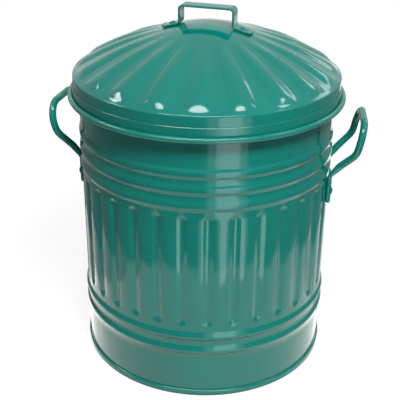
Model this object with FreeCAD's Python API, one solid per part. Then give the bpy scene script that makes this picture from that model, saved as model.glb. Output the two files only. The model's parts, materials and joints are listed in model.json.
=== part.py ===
"""Small round steel dustbin with a lift-off lid, in millimetres.

The origin is the middle of the base on the floor and +Z is up. The fluted body carries two bow
handles, riveted through the wall at +X and -X. The ribbed lid carries a strap handle and hangs
its skirt over the body's rolled rim. Each piece is a solid of its own.
"""
import FreeCAD, Part
import math
import os

from FreeCAD import Vector

os.makedirs("parts", exist_ok=True)

X, Y, Z = Vector(1, 0, 0), Vector(0, 1, 0), Vector(0, 0, 1)
ORIGIN = Vector(0, 0, 0)

# ------------------------------------------------------------------ driving sizes: sheet steel
SHEET = 0.8                 # gauge of the body, the base and the lid
SEAT_GAP = 0.3              # between pieces that rest on, hug or enclose each other

# ------------------------------------------------------------------ driving sizes: body
BODY_RADIUS = 165.9         # outer face of the plain wall
BODY_HEIGHT = 393.9         # floor to the top of the rolled rim
RIM_BEAD_RADIUS = 3.2       # outside of the rolled rim
RIM_CURL_END = 130.0        # how far past the outermost point the rim curls under, degrees
UPPER_RIB_DROPS = (119.5, 98.0, 76.6)   # below the top of the rim
LOWER_RIB_HEIGHTS = (70.3, 91.4)        # above the floor
RIB_HALF_WIDTH = 4.5        # half the height of one rolled rib
RIB_PROUD = 2.8             # how far a rib stands out of the wall

FLUTE_COUNT = 32
FLUTE_WIDTH = 13.0
FLUTE_DEPTH = 2.7
FLUTE_TOP_GAP = 8.4         # upper end of the flutes below the lowest upper rib
FLUTE_BOTTOM_GAP = 16.1     # lower end of the flutes above the highest lower rib
FLUTE_MARGIN = 2.0          # plain wall kept above and below the flutes

# ------------------------------------------------------------------ driving sizes: base
HEM_PROUD = 2.8             # how far the hem of the base stands out of the wall
HEM_HEIGHT = 8.0
HEM_TOP_ROUND = 2.4         # outer corners of the hem
HEM_BOTTOM_ROUND = 1.4
HEM_INNER_ROUND = 1.3
FLANGE_REACH = 1.3          # the wall's lower edge, turned out inside the hem
BASE_RECESS = 13.0          # floor to the underside of the bottom sheet
BASE_CORNER = 4.0
BASE_BORDER = 43.9          # flat border round the raised middle that stiffens the bottom
BASE_STEP_HEIGHT = 3.0
BASE_STEP_RUN = 8.0

# ------------------------------------------------------------------ driving sizes: lid
SKIRT_PLAY = 0.5            # between the skirt and the rolled rim that it hangs round
SKIRT_DEPTH = 30.8          # shoulder to the lower edge of the lid's bead
HOOP_DROP = 13.3            # shoulder to the upper edge of the hoop round the skirt
HOOP_LAP = 10.0             # how far the skirt reaches down inside the hoop
SKIRT_JOIN_DROP = 10.0      # shoulder to the height at which the crown becomes plain skirt
SHOULDER_ROUND = 2.6
LID_BEAD_RADIUS = 3.5
LID_CURL_END = 130.0
CROWN_RISE = 61.2           # shoulder to the middle of the lid
CROWN_RADIUS = 166.0        # spherical middle of the crown
CROWN_MIDDLE = 43.0         # radius at which the flatter outer crown starts

RIDGE_COUNT = 20
RIDGE_PHASE = 13.0          # first crest, degrees from the line square to the strap handle
RIDGE_HEIGHT = 2.2
RIDGE_SHARE = 0.5           # part of the pitch that a ridge takes up
RIDGE_START = 62.0          # radius where the crests rise out of the crown
RIDGE_END_GAP = 6.8         # where they sink back, in from the skirt
RIDGE_FADE = 15.0           # length of the rise and of the fall
RIDGE_ROOT = 3.0            # how far each ridge's core reaches into the crown

# ------------------------------------------------------------------ driving sizes: bow handles
HANDLE_SETBACK = 4.5        # both bow handles sit this far behind the X axis, degrees
FOOT_ANGLE = 11.25          # half the angle between a bow handle's feet
ROD_DIAMETER = 9.5
FOOT_WIDTH = 12.5           # the rod's ends are flattened to this section
FOOT_THICKNESS = 6.0
RIVET_DROP = 29.4           # rivets of the bow handles below the lowest upper rib
FOOT_DROP = 18.0            # lower end of each foot below its rivet
FOOT_BEND_RISE = 21.5       # bend away from the wall above the rivet
FOOT_BEND_RADIUS = 10.0
FLAT_RUN_OUT = 12.5         # outward run over which the flat foot becomes a round rod
FLAT_RUN_UP = 15.0
ELBOW_OUT = 30.6            # lower elbow: outside the wall
ELBOW_HALF_WIDTH = 41.5
ELBOW_RISE = 55.0           # above the rivet
ELBOW_RADIUS = 24.0
KINK_RADIUS = 14.0
BOW_OUT = 38.6              # upper corners of the bow: outside the wall
BOW_HALF_WIDTH = 49.5
BOW_RISE = 93.4             # above the rivet
BOW_RADIUS = 25.0

RIVET_SHANK = 5.0           # diameters
RIVET_HEAD = 10.0
RIVET_HEAD_RISE = 2.2
WASHER_DIAMETER = 11.0
WASHER_THICKNESS = 1.0
TAIL_DIAMETER = 8.4
TAIL_RISE = 1.6
HOLE_CLEARANCE = 0.3        # hole diameter over shank diameter

# ------------------------------------------------------------------ driving sizes: strap handle
LID_TURN = -6.35            # the lid lies turned this much on the body, degrees
STRAP_WIDTH = 20.0
STRAP_THICKNESS = 2.5
STRAP_SPAN = 72.8           # over the outer faces of the legs
STRAP_RISE = 22.2           # top of the strap above the middle of the lid
STRAP_BEND = 3.5            # inside radius of the upper bends
STRAP_FOOT_BEND = 3.0
STRAP_FOOT = 23.0           # length of each foot beyond its leg
STRAP_TIP = 4.0             # end of each foot that is turned up
STRAP_TIP_RISE = 1.0
STRAP_CORNER = 5.0          # rounding of the feet, seen from above
STRAP_RIVET_OFFSET = 9.5    # rivet beyond the outer face of the leg

# ------------------------------------------------------------------ sizes that follow
WALL_INSIDE = BODY_RADIUS - SHEET
UPPER_RIB_HEIGHTS = tuple(BODY_HEIGHT - drop for drop in UPPER_RIB_DROPS)
FLUTE_TOP = min(UPPER_RIB_HEIGHTS) - FLUTE_TOP_GAP
FLUTE_BOTTOM = max(LOWER_RIB_HEIGHTS) + FLUTE_BOTTOM_GAP
BASE_STEP_RADIUS = BODY_RADIUS - BASE_BORDER
RIM_CENTRE_RADIUS = WALL_INSIDE + RIM_BEAD_RADIUS
RIM_CENTRE_HEIGHT = BODY_HEIGHT - RIM_BEAD_RADIUS
RIM_WIRE_RADIUS = RIM_BEAD_RADIUS - SHEET - SEAT_GAP
LID_WIRE_RADIUS = LID_BEAD_RADIUS - SHEET - SEAT_GAP
ROD_RADIUS = ROD_DIAMETER / 2
FOOT_CENTRE = BODY_RADIUS + SEAT_GAP + FOOT_THICKNESS / 2
RIVET_HEIGHT = min(UPPER_RIB_HEIGHTS) - RIVET_DROP
FOOT_BOTTOM = RIVET_HEIGHT - FOOT_DROP
FOOT_BEND_HEIGHT = RIVET_HEIGHT + FOOT_BEND_RISE
HANDLE_AZIMUTHS = {"right": HANDLE_SETBACK, "left": 180 - HANDLE_SETBACK}

# the skirt hangs round the rolled rim, and the ridges end short of it
SKIRT_RADIUS = WALL_INSIDE + 2 * RIM_BEAD_RADIUS + SKIRT_PLAY + SHEET
RIDGE_END = SKIRT_RADIUS - RIDGE_END_GAP

# the crown: a spherical middle, then one arc that leaves it tangentially and ends at the shoulder
CROWN_SLOPE = math.asin(CROWN_MIDDLE / CROWN_RADIUS)
CROWN_DROP = CROWN_RADIUS * (1 - math.cos(CROWN_SLOPE))
CHORD_SLOPE = math.atan2(CROWN_RISE - CROWN_DROP, SKIRT_RADIUS - CROWN_MIDDLE)
SHOULDER_SLOPE = 2 * CHORD_SLOPE - CROWN_SLOPE
SINE_GAIN = math.sin(SHOULDER_SLOPE) - math.sin(CROWN_SLOPE)
OUTER_CROWN_RADIUS = (SKIRT_RADIUS - CROWN_MIDDLE) / SINE_GAIN
CROWN_CENTRE_RADIUS = CROWN_MIDDLE - OUTER_CROWN_RADIUS * math.sin(CROWN_SLOPE)

# the lid comes down until its underside is one seat gap from the rolled rim
SEAT_REACH = OUTER_CROWN_RADIUS - SHEET - SEAT_GAP - RIM_BEAD_RADIUS
SEAT_RUN = RIM_CENTRE_RADIUS - CROWN_CENTRE_RADIUS
CROWN_CENTRE_HEIGHT = RIM_CENTRE_HEIGHT - math.sqrt(SEAT_REACH**2 - SEAT_RUN**2)
SHOULDER_HEIGHT = CROWN_CENTRE_HEIGHT + OUTER_CROWN_RADIUS * math.cos(SHOULDER_SLOPE)
CROWN_TOP = SHOULDER_HEIGHT + CROWN_RISE
LID_BOTTOM = SHOULDER_HEIGHT - SKIRT_DEPTH
HOOP_INSIDE = SKIRT_RADIUS + SEAT_GAP
HOOP_TOP = SHOULDER_HEIGHT - HOOP_DROP
LID_BEAD_CENTRE = HOOP_INSIDE + LID_BEAD_RADIUS
LID_BEAD_HEIGHT = LID_BOTTOM + LID_BEAD_RADIUS


# ------------------------------------------------------------------ geometry helpers
def at(radius, height):
    """A point of a section that is turned about Z."""
    return Vector(radius, 0, height)


def polar(centre, radius, degrees):
    angle = math.radians(degrees)
    return centre + at(radius * math.cos(angle), radius * math.sin(angle))


def arc(start, middle, end):
    return Part.Arc(start, middle, end).toShape()


def straight(start, end):
    """A straight edge, or nothing where the two points are the same."""
    return [Part.makeLine(start, end)] if start.distanceToPoint(end) > 1e-6 else []


def rounded_path(points, radii):
    """Edges through points: straight runs joined by tangent arcs of the given radii."""
    edges = []
    start = points[0]
    for before, corner, after, radius in zip(points, points[1:], points[2:], radii):
        back = (before - corner).normalize()
        ahead = (after - corner).normalize()
        half = back.getAngle(ahead) / 2
        setback = radius / math.tan(half)
        bisector = (back + ahead).normalize()
        middle = corner + bisector * (radius / math.sin(half) - radius)
        enter, leave = corner + back * setback, corner + ahead * setback
        edges += straight(start, enter)
        edges.append(arc(enter, middle, leave))
        start = leave
    return edges + straight(start, points[-1])


def turned(face):
    """The solid that a section in the XZ plane sweeps about Z."""
    return face.revolve(ORIGIN, Z, 360)


def turned_sheet(edges, offset):
    """Sheet steel turned about Z; offset is the gauge, negative for the right of the path."""
    return turned(Part.Wire(edges).makeOffset2D(offset, join=2, fill=True, openResult=True))


def tube(radius, low, high):
    """Plain upright sheet; radius is that of its outer face."""
    outer = Part.makeCylinder(radius, high - low, at(0, low))
    return outer.cut(Part.makeCylinder(radius - SHEET, high - low, at(0, low)))


def ring_wire(centre_radius, height, radius):
    return Part.makeTorus(centre_radius, radius, at(0, height))


def placed(shape, azimuth):
    """A copy of a shape built on the +X side, turned about Z."""
    copy = shape.copy()
    copy.rotate(ORIGIN, Z, azimuth)
    return copy


def save(name, shape):
    """Write one piece; it must be a single sound solid."""
    assert len(shape.Solids) == 1 and shape.isValid(), name
    shape.Solids[0].exportStep(os.path.join("parts", name + ".step"))
    print(name, "faces", len(shape.Faces), "volume", round(shape.Volume, 1))


# ------------------------------------------------------------------ body
def rib_edges(height):
    """One rolled rib on the inner face of the wall, as a single arc."""
    rib_radius = (RIB_HALF_WIDTH**2 + RIB_PROUD**2) / (2 * RIB_PROUD)
    centre = at(BODY_RADIUS + RIB_PROUD - rib_radius, height)
    inner = rib_radius - SHEET
    reach = math.sqrt(inner**2 - (WALL_INSIDE - centre.x)**2)
    low, high = at(WALL_INSIDE, height - reach), at(WALL_INSIDE, height + reach)
    return [arc(low, centre + at(inner, 0), high)]


def ribbed_wall(start, rib_heights, end):
    """Edges of the wall's inner face from start up to end, with ribs on the way."""
    edges = []
    for height in rib_heights:
        rib = rib_edges(height)
        edges.append(Part.makeLine(start, rib[0].Vertexes[0].Point))
        edges += rib
        start = rib[0].Vertexes[-1].Point
    return edges + [Part.makeLine(start, end)]


def flute(depth_radius):
    """One upright trough cutter with round ends, standing just outside the wall."""
    sag_radius = (FLUTE_WIDTH**2 / 4 + FLUTE_DEPTH**2) / (2 * FLUTE_DEPTH)
    axis = BODY_RADIUS - FLUTE_DEPTH + sag_radius
    radius = sag_radius + depth_radius
    low = FLUTE_BOTTOM + FLUTE_WIDTH / 2
    high = FLUTE_TOP - FLUTE_WIDTH / 2
    barrel = Part.makeCylinder(radius, high - low, at(axis, low))
    ends = [Part.makeSphere(radius, at(axis, height)) for height in (low, high)]
    return barrel.fuse(ends)


def fluted_band(low, high):
    """The plain stretch of wall between the two groups of ribs, pressed in by the flutes."""
    pitch = 360 / FLUTE_COUNT
    outer = Part.makeCylinder(BODY_RADIUS, high - low, at(0, low))
    inner = Part.makeCylinder(WALL_INSIDE, high - low, at(0, low))
    outside, inside = flute(0), flute(SHEET)
    outer = outer.cut([placed(outside, -90 + index * pitch) for index in range(FLUTE_COUNT)])
    inner = inner.cut([placed(inside, -90 + index * pitch) for index in range(FLUTE_COUNT)])
    return outer.cut(inner)


def body_shell():
    low = FLUTE_BOTTOM - FLUTE_MARGIN
    high = FLUTE_TOP + FLUTE_MARGIN
    edge = SHEET + SEAT_GAP
    corner = at(WALL_INSIDE, edge)
    flange = at(BODY_RADIUS + FLANGE_REACH, edge)
    foot = rounded_path([flange, corner, at(WALL_INSIDE, HEM_HEIGHT)], [SHEET + SEAT_GAP])
    wall = ribbed_wall(at(WALL_INSIDE, HEM_HEIGHT), LOWER_RIB_HEIGHTS, at(WALL_INSIDE, low))
    lower = turned_sheet(foot + wall, -SHEET)

    bead = at(RIM_CENTRE_RADIUS, RIM_CENTRE_HEIGHT)
    wall = ribbed_wall(at(WALL_INSIDE, high), UPPER_RIB_HEIGHTS, at(WALL_INSIDE, RIM_CENTRE_HEIGHT))
    curl = arc(polar(bead, RIM_BEAD_RADIUS, 180), polar(bead, RIM_BEAD_RADIUS, 30),
               polar(bead, RIM_BEAD_RADIUS, -RIM_CURL_END))
    upper = turned_sheet(wall + [curl], -SHEET)

    shell = lower.fuse([fluted_band(low, high), upper])
    holes = [placed(rivet_hole(), azimuth + side * FOOT_ANGLE)
             for azimuth in HANDLE_AZIMUTHS.values() for side in (-1, 1)]
    return shell.cut(holes)


def base_pan():
    """Bottom sheet with a raised middle; its edge wraps round the wall's lower edge as a hem."""
    hug = WALL_INSIDE - SEAT_GAP - SHEET
    outer = BODY_RADIUS + HEM_PROUD
    raised = BASE_RECESS + BASE_STEP_HEIGHT
    points = [at(BODY_RADIUS + SEAT_GAP, HEM_HEIGHT), at(outer, HEM_HEIGHT), at(outer, 0),
              at(hug, 0), at(hug, BASE_RECESS), at(BASE_STEP_RADIUS, BASE_RECESS),
              at(BASE_STEP_RADIUS - BASE_STEP_RUN, raised), at(0, raised)]
    radii = [HEM_TOP_ROUND, HEM_BOTTOM_ROUND, HEM_INNER_ROUND] + 3 * [BASE_CORNER]
    return turned_sheet(rounded_path(points, radii), -SHEET)


# ------------------------------------------------------------------ bow handles
def flat_section(width, thickness, centre, tangent, across):
    """A closed section with round narrow ends, split so that it lofts to the round rod."""
    normal = tangent.cross(across).normalize()
    half = (width - thickness) / 2
    end = thickness / 2
    corner = [centre + across * half + normal * end, centre - across * half + normal * end,
              centre - across * half - normal * end, centre + across * half - normal * end]
    return Part.Wire([Part.makeLine(corner[0], corner[1]),
                      arc(corner[1], centre - across * (half + end), corner[2]),
                      Part.makeLine(corner[2], corner[3]),
                      arc(corner[3], centre + across * (half + end), corner[0])])


def round_section(radius, centre, tangent, across):
    """The rod's circle in four arcs that match the flat section's four edges."""
    normal = tangent.cross(across).normalize()

    def rim(degrees):
        angle = math.radians(degrees)
        return centre + across * (radius * math.cos(angle)) + normal * (radius * math.sin(angle))

    stops = (45, 135, 225, 315, 405)
    return Part.Wire([arc(rim(a), rim((a + b) / 2), rim(b)) for a, b in zip(stops, stops[1:])])


def foot_frame(side):
    """Outward and sideways directions of a foot, square to the wall where it is riveted."""
    angle = math.radians(FOOT_ANGLE)
    return (Vector(math.cos(angle), side * math.sin(angle), 0),
            Vector(-side * math.sin(angle), math.cos(angle), 0))


def handle_foot(side):
    """One flattened foot: upright tab, bend away from the wall, run-out to the round rod."""
    outward, sideways = foot_frame(side)
    low = outward * FOOT_CENTRE + Z * FOOT_BOTTOM
    bend = outward * FOOT_CENTRE + Z * FOOT_BEND_HEIGHT
    kink = bend + outward * FLAT_RUN_OUT + Z * FLAT_RUN_UP
    slant = (kink - bend).normalize()
    turn = Z.getAngle(slant)
    setback = FOOT_BEND_RADIUS * math.tan(turn / 2)
    bend_start, bend_end = bend - Z * setback, bend + slant * setback

    upright = flat_section(FOOT_WIDTH, FOOT_THICKNESS, low, Z, sideways)
    tab = Part.Face(upright).extrude(bend_start - low)
    tab_round = FOOT_WIDTH / 2
    outline = Part.makeCylinder(tab_round, 2 * FOOT_THICKNESS,
                                low + Z * tab_round - outward * FOOT_THICKNESS, outward)
    blank = Part.makeBox(2 * FOOT_THICKNESS, FOOT_WIDTH, FOOT_BEND_HEIGHT - FOOT_BOTTOM)
    blank.translate(Vector(FOOT_CENTRE - FOOT_THICKNESS, -FOOT_WIDTH / 2, FOOT_BOTTOM + tab_round))
    tab = tab.common(outline.fuse(placed(blank, side * FOOT_ANGLE)))

    start = flat_section(FOOT_WIDTH, FOOT_THICKNESS, bend_start, Z, sideways)
    hinge = bend_start + outward * FOOT_BEND_RADIUS
    knee = Part.Face(start).revolve(hinge, sideways, math.degrees(turn))
    flat = flat_section(FOOT_WIDTH, FOOT_THICKNESS, bend_end, slant, sideways)
    rod_start = kink - slant * kink_setback(side)
    round_end = round_section(ROD_RADIUS, rod_start, slant, sideways)
    run_out = Part.makeLoft([flat, round_end], True, True)
    return tab, knee, run_out


def bow_points(side):
    """Corners of the rod's centre line on one side, from the foot's bend to the bow."""
    outward, _ = foot_frame(side)
    bend = outward * FOOT_CENTRE + Z * FOOT_BEND_HEIGHT
    kink = bend + outward * FLAT_RUN_OUT + Z * FLAT_RUN_UP
    elbow = Vector(BODY_RADIUS + ELBOW_OUT, side * ELBOW_HALF_WIDTH, RIVET_HEIGHT + ELBOW_RISE)
    bow = Vector(BODY_RADIUS + BOW_OUT, side * BOW_HALF_WIDTH, RIVET_HEIGHT + BOW_RISE)
    return [bend, kink, elbow, bow]


def kink_setback(side):
    """Length that the kink's arc takes from the run-out of the foot."""
    bend, kink, elbow, _ = bow_points(side)
    half = (bend - kink).getAngle(elbow - kink) / 2
    return KINK_RADIUS / math.tan(half)


def bow_handle():
    """A bent rod with two flattened feet, on the +X side and centred on the X axis."""
    points = bow_points(-1) + bow_points(1)[::-1]
    first = points[1] + (points[0] - points[1]).normalize() * kink_setback(-1)
    last = points[-2] + (points[-1] - points[-2]).normalize() * kink_setback(1)
    points[0], points[-1] = first, last
    radii = [KINK_RADIUS, ELBOW_RADIUS, BOW_RADIUS, BOW_RADIUS, ELBOW_RADIUS, KINK_RADIUS]
    edges = rounded_path(points, radii)
    section = Part.Wire(Part.makeCircle(ROD_RADIUS, first, points[1] - first))
    rod = Part.Wire(edges).makePipeShell([section], True, False)
    handle = rod.fuse([piece for side in (-1, 1) for piece in handle_foot(side)])
    holes = [placed(rivet_hole(), side * FOOT_ANGLE) for side in (-1, 1)]
    return handle.cut(holes)


# ------------------------------------------------------------------ rivets and washers
def domed(diameter, rise, base):
    """Section of a round head, from its edge at base to its middle; a negative rise hangs down."""
    half = diameter / 2
    radius = (half**2 + rise**2) / (2 * rise)
    angle = math.asin(half / radius) / 2
    middle = at(radius * math.sin(angle), base + rise - radius * (1 - math.cos(angle)))
    return arc(at(half, base), middle, at(0, base + rise))


def rivet(grip):
    """A rivet along +Z: the head stands on z = 0 and the tail closes grip below it."""
    shank, head, tail = RIVET_SHANK / 2, RIVET_HEAD / 2, TAIL_DIAMETER / 2
    head_dome = domed(RIVET_HEAD, RIVET_HEAD_RISE, 0)
    tail_dome = domed(TAIL_DIAMETER, -TAIL_RISE, -grip)
    axis = Part.makeLine(at(0, RIVET_HEAD_RISE), at(0, -grip - TAIL_RISE))
    under_tail = Part.makeLine(at(tail, -grip), at(shank, -grip))
    side = Part.makeLine(at(shank, -grip), at(shank, 0))
    under_head = Part.makeLine(at(shank, 0), at(head, 0))
    return turned(Part.Face(Part.Wire([head_dome, axis, tail_dome, under_tail, side, under_head])))


def washer():
    disc = Part.makeCylinder(WASHER_DIAMETER / 2, WASHER_THICKNESS)
    return disc.cut(Part.makeCylinder((RIVET_SHANK + HOLE_CLEARANCE) / 2, WASHER_THICKNESS))


def laid_out(shape, distance, height):
    """A copy of an upright shape, turned so that its +Z points along +X, at that distance."""
    copy = shape.copy()
    copy.rotate(ORIGIN, Y, 90)
    copy.translate(at(distance, height))
    return copy


def washer_face():
    """Distance from the axis at which a flat washer comes to rest inside the round wall."""
    return math.sqrt(WALL_INSIDE**2 - (WASHER_DIAMETER / 2)**2) - SEAT_GAP


def foot_face():
    return FOOT_CENTRE + FOOT_THICKNESS / 2


def rivet_hole():
    """Cutter through one foot and the wall behind it, on the +X side."""
    depth = 2 * FOOT_THICKNESS
    radius = (RIVET_SHANK + HOLE_CLEARANCE) / 2
    return Part.makeCylinder(radius, 2 * depth, at(BODY_RADIUS - depth, RIVET_HEIGHT), X)


# ------------------------------------------------------------------ lid
def crown_underside(radius):
    """Height of the crown's smooth underside at a radius beyond the spherical middle."""
    run = radius - CROWN_CENTRE_RADIUS
    return CROWN_CENTRE_HEIGHT + math.sqrt((OUTER_CROWN_RADIUS - SHEET)**2 - run**2)


def crown_slope(radius):
    return math.asin((radius - CROWN_CENTRE_RADIUS) / OUTER_CROWN_RADIUS)


def crown_face(radius):
    """Height of the crown's smooth outer face beyond the spherical middle."""
    run = radius - CROWN_CENTRE_RADIUS
    return CROWN_CENTRE_HEIGHT + math.sqrt(OUTER_CROWN_RADIUS**2 - run**2)


def crown_section(depth):
    """Section under the crown, from its outer face (depth 0) or its inner one, to the skirt."""
    sphere_centre = at(0, CROWN_TOP - CROWN_RADIUS)
    arc_centre = at(CROWN_CENTRE_RADIUS, CROWN_CENTRE_HEIGHT)
    sphere, outer, edge = CROWN_RADIUS - depth, OUTER_CROWN_RADIUS - depth, SKIRT_RADIUS - depth
    steep = 90 - math.degrees(CROWN_SLOPE)
    top, join = polar(sphere_centre, sphere, 90), polar(sphere_centre, sphere, steep)
    cap = arc(top, polar(sphere_centre, sphere, (90 + steep) / 2), join)

    round_radius = SKIRT_RADIUS - SHOULDER_ROUND
    tilt = math.acos((round_radius - CROWN_CENTRE_RADIUS) / (OUTER_CROWN_RADIUS - SHOULDER_ROUND))
    tilt_degrees = math.degrees(tilt)
    round_centre = polar(arc_centre, OUTER_CROWN_RADIUS - SHOULDER_ROUND, tilt_degrees)
    end = polar(arc_centre, outer, tilt_degrees)
    slope = arc(join, polar(arc_centre, outer, (steep + tilt_degrees) / 2), end)
    side = round_centre + X * (SHOULDER_ROUND - depth)
    shoulder = arc(end, polar(round_centre, SHOULDER_ROUND - depth, tilt_degrees / 2), side)
    foot = at(edge, SHOULDER_HEIGHT - SKIRT_JOIN_DROP)
    floor = at(0, foot.z)
    return Part.Face(Part.Wire([cap, slope, shoulder, Part.makeLine(side, foot),
                                Part.makeLine(foot, floor), Part.makeLine(floor, top)]))


def ridge_section(radius, rise, depth):
    """Upright lens across one ridge at a radius from the axis; rise is its crest's height."""
    half = radius * math.tan(math.radians(RIDGE_SHARE * 180 / RIDGE_COUNT))
    bulge = (half**2 + RIDGE_HEIGHT**2) / (2 * RIDGE_HEIGHT) - depth
    face = crown_underside(radius) + (SHEET - depth) / math.cos(crown_slope(radius))
    crest = face + rise
    drop = RIDGE_HEIGHT + RIDGE_ROOT
    width = math.sqrt(bulge**2 - (bulge - drop)**2)
    left, right = Vector(radius, -width, crest - drop), Vector(radius, width, crest - drop)
    return Part.Wire([arc(left, at(radius, crest), right), Part.makeLine(right, left)])


def ridge(depth):
    """Core of one radial ridge, along +X; it widens outwards and sinks away at both ends."""
    sunk = -RIDGE_HEIGHT
    stations = ((RIDGE_START - RIDGE_FADE / 2, sunk), (RIDGE_START + RIDGE_FADE / 2, RIDGE_HEIGHT),
                ((RIDGE_START + RIDGE_END) / 2, RIDGE_HEIGHT),
                (RIDGE_END - RIDGE_FADE / 2, RIDGE_HEIGHT), (RIDGE_END + RIDGE_FADE / 4, sunk))
    return Part.makeLoft([ridge_section(r, rise, depth) for r, rise in stations], True, False)


def crown_sector(depth):
    """One pitch of the ribbed crown, filled from the crown's face down to the shoulder."""
    pitch = 360 / RIDGE_COUNT
    slice_ = crown_section(depth).revolve(ORIGIN, Z, pitch)
    slice_.rotate(ORIGIN, Z, -pitch / 2)
    return slice_.fuse(ridge(depth))


def lid_crown():
    """Ribbed crown whose edge is turned down as a short skirt."""
    sector = crown_sector(0).cut(crown_sector(SHEET))
    pitch = 360 / RIDGE_COUNT
    sectors = [placed(sector, RIDGE_PHASE - 90 + index * pitch) for index in range(RIDGE_COUNT)]
    skirt = tube(SKIRT_RADIUS, HOOP_TOP - HOOP_LAP, SHOULDER_HEIGHT - SKIRT_JOIN_DROP)
    return sectors[0].fuse(sectors[1:] + [skirt]).cut([strap_hole(side) for side in (-1, 1)])


def lid_hoop():
    """Band that laps the skirt and ends in an edge curled outwards round its wire."""
    bead = at(LID_BEAD_CENTRE, LID_BEAD_HEIGHT)
    band = Part.makeLine(at(HOOP_INSIDE, HOOP_TOP), polar(bead, LID_BEAD_RADIUS, 180))
    curl = arc(polar(bead, LID_BEAD_RADIUS, 180), polar(bead, LID_BEAD_RADIUS, -30),
               polar(bead, LID_BEAD_RADIUS, LID_CURL_END))
    return turned_sheet([band, curl], SHEET)


# ------------------------------------------------------------------ strap handle of the lid
def strap_seat(side):
    """Foot of the rivet on the strap's underside, and the direction square to the crown there."""
    reach = STRAP_SPAN / 2 + STRAP_RIVET_OFFSET
    slope = crown_slope(reach)
    normal = Vector(side * math.sin(slope), 0, math.cos(slope))
    return Vector(side * reach, 0, crown_face(reach)) + normal * SEAT_GAP, normal


def strap_hole(side):
    """Cutter through the strap's foot and the crown below it."""
    seat, normal = strap_seat(side)
    depth = 2 * (STRAP_THICKNESS + SHEET)
    radius = (RIVET_SHANK + HOLE_CLEARANCE) / 2
    return Part.makeCylinder(radius, 2 * depth, seat - normal * depth, normal)


def strap_half(side):
    """Corners of the strap's underside on one side, from the tip of the foot to the top."""
    seat, normal = strap_seat(side)
    leg = STRAP_SPAN / 2 - STRAP_THICKNESS
    tip = STRAP_SPAN / 2 + STRAP_FOOT

    def under(reach, rise=0.0):
        drop = (reach - abs(seat.x)) * math.tan(crown_slope(abs(seat.x)))
        return Vector(side * reach, 0, seat.z - drop + rise)

    top = Vector(side * leg, 0, CROWN_TOP + STRAP_RISE - STRAP_THICKNESS)
    return [under(tip, STRAP_TIP_RISE), under(tip - STRAP_TIP), under(leg), top]


def lid_handle():
    """A flat strap bent into a hat shape, its feet lying on the slope of the crown."""
    points = strap_half(-1) + strap_half(1)[::-1]
    outer_bend = STRAP_FOOT_BEND + STRAP_THICKNESS
    radii = [STRAP_TIP, outer_bend, STRAP_BEND, STRAP_BEND, outer_bend, STRAP_TIP]
    path = Part.Wire(rounded_path(points, radii))
    profile = path.makeOffset2D(STRAP_THICKNESS, join=2, fill=True, openResult=True)
    profile.translate(Y * (-STRAP_WIDTH / 2))
    strap = profile.extrude(Y * STRAP_WIDTH)
    length = STRAP_SPAN + 2 * STRAP_FOOT
    outline = Part.makeBox(length, STRAP_WIDTH, 4 * STRAP_RISE,
                           Vector(-length / 2, -STRAP_WIDTH / 2, CROWN_TOP - 2 * STRAP_RISE))
    upright = [edge for edge in outline.Edges if abs(edge.tangentAt(edge.FirstParameter).z) > 0.5]
    outline = outline.makeFillet(STRAP_CORNER, upright)
    return strap.common(outline).cut([strap_hole(side) for side in (-1, 1)])


def aligned(shape, seat, normal):
    """A copy of an upright shape, set on seat with its +Z along normal."""
    copy = shape.copy()
    copy.rotate(ORIGIN, Y, math.degrees(math.atan2(normal.x, normal.z)))
    copy.translate(seat)
    return copy


def strap_fastening(side):
    """Rivet through one foot of the strap, and the washer under the crown."""
    seat, normal = strap_seat(side)
    sag = CROWN_RADIUS - math.sqrt(CROWN_RADIUS**2 - (WASHER_DIAMETER / 2)**2)
    washer_top = -SEAT_GAP - SHEET - sag - SEAT_GAP
    grip = STRAP_THICKNESS - washer_top + WASHER_THICKNESS
    pin = aligned(rivet(grip), seat + normal * STRAP_THICKNESS, normal)
    ring = aligned(washer(), seat + normal * (washer_top - WASHER_THICKNESS), normal)
    return pin, ring


def foot_fastening():
    """Rivet through one foot of a bow handle, and the washer inside the wall, on the +X side."""
    face = washer_face()
    grip = foot_face() - face + WASHER_THICKNESS
    pin = laid_out(rivet(grip), foot_face(), RIVET_HEIGHT)
    ring = laid_out(washer(), face - WASHER_THICKNESS, RIVET_HEIGHT)
    return pin, ring


# ------------------------------------------------------------------ assembly
def bin_pieces():
    pieces = {"body_shell": body_shell(), "base_pan": base_pan(),
              "body_rim_wire": ring_wire(RIM_CENTRE_RADIUS, RIM_CENTRE_HEIGHT, RIM_WIRE_RADIUS)}
    handle = bow_handle()
    pin, ring = foot_fastening()
    for name, azimuth in HANDLE_AZIMUTHS.items():
        pieces["handle_" + name] = placed(handle, azimuth)
        for number, side in enumerate((-1, 1), 1):
            foot = azimuth + side * FOOT_ANGLE
            pieces["handle_%s_rivet_%d" % (name, number)] = placed(pin, foot)
            pieces["handle_%s_washer_%d" % (name, number)] = placed(ring, foot)
    return pieces


def lid_pieces():
    pieces = {"lid_crown": lid_crown(), "lid_hoop": lid_hoop(), "lid_handle": lid_handle(),
              "lid_rim_wire": ring_wire(LID_BEAD_CENTRE, LID_BEAD_HEIGHT, LID_WIRE_RADIUS)}
    for name, side in (("right", 1), ("left", -1)):
        pin, ring = strap_fastening(side)
        pieces["lid_rivet_" + name] = pin
        pieces["lid_washer_" + name] = ring
    return {name: placed(shape, LID_TURN) for name, shape in pieces.items()}


for piece_name, piece in {**bin_pieces(), **lid_pieces()}.items():
    save(piece_name, piece)
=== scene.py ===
"""Green enamelled steel dustbin with its lid on: fine surfaces, paint, light and camera."""
import json
import math

import bpy
import numpy as np
from mathutils import Matrix, Vector

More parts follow.
